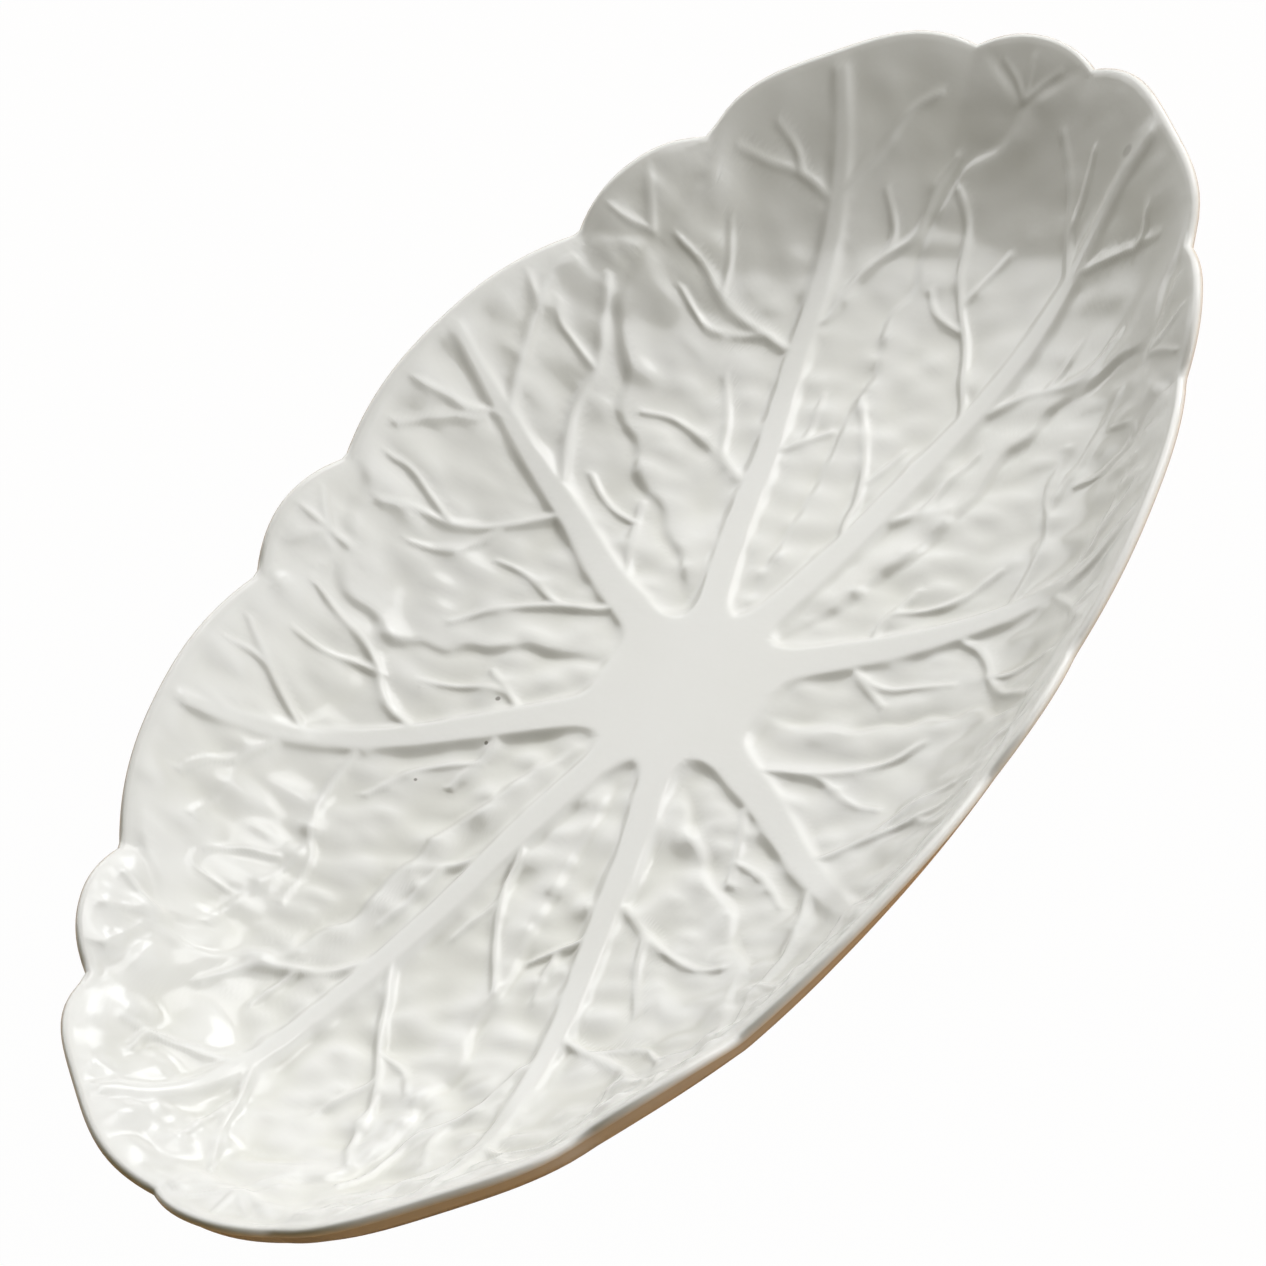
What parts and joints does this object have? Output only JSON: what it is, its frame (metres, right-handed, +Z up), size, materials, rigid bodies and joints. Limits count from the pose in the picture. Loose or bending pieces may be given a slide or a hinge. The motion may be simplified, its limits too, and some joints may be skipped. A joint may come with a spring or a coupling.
{
  "type": "fish platter",
  "caption": "Oval serving platter for a whole fish, with a shallow dish, a relief of overlapping cabbage leaves, a lobed rim and an oval foot ring.",
  "frame": {"origin": "middle of the foot ring's standing plane", "axes": "+X along the platter's length, +Y across it, +Z up out of the dish"},
  "size_m": [0.5422, 0.3042, 0.0636],
  "materials": {
    "biscuit": "matt fired earthenware",
    "bare_foot": "wiped bare earthenware",
    "face_glaze": "glossy ivory white glaze",
    "back_glaze": "glossy ivory white glaze",
    "well_glaze": "glossy ivory white glaze"
  },
  "bodies": {
    "root": {"clay_body": "biscuit", "foot_ring": "bare_foot", "face_glaze": "face_glaze", "back_glaze": "back_glaze", "well_glaze": "well_glaze"}
  },
  "joints": []
}
